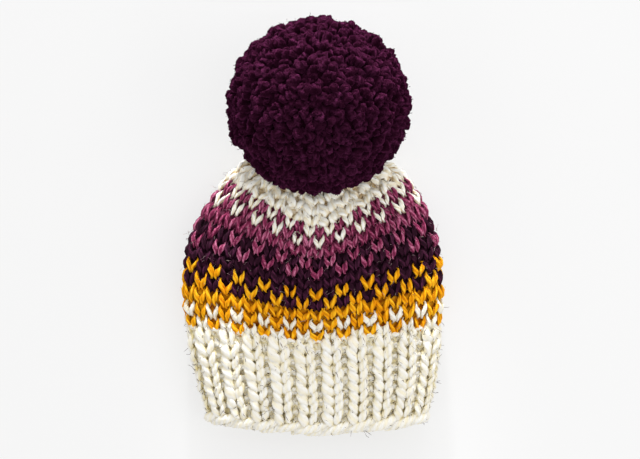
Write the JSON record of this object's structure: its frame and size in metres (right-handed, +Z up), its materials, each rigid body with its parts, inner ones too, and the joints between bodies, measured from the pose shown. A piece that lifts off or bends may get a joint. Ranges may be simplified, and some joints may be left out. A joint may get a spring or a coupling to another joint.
{
  "type": "bobble hat",
  "caption": "Adult knitted bobble hat lying flat on its back, with a ribbed brim, colour bands with checker rows, a gathered crown and a large cut-yarn pompom.",
  "frame": {"origin": "on the table, on the flat underside of the plum band, under the middle of the hat", "axes": "+Y along the hat from its rim to its pompom, +Z up from the table, +X to the wearer's side that is on the right when the hat is seen from above with its pompom away"},
  "size_m": [0.2307, 0.3558, 0.1507],
  "materials": {
    "brim_wool": "rib-knitted cream wool with dark flecks",
    "mustard_wool": "knitted mustard wool",
    "plum_wool": "knitted dark plum wool",
    "mauve_wool": "knitted mauve wool",
    "crown_wool": "knitted cream wool with dark flecks, drawn into pleats",
    "pompom_wool": "cut ends of dark plum yarn"
  },
  "bodies": {
    "root": {"ribbed_brim": "brim_wool", "mustard_band": "mustard_wool", "plum_band": "plum_wool", "mauve_band": "mauve_wool", "gathered_crown": "crown_wool", "pompom": "pompom_wool"}
  },
  "joints": []
}
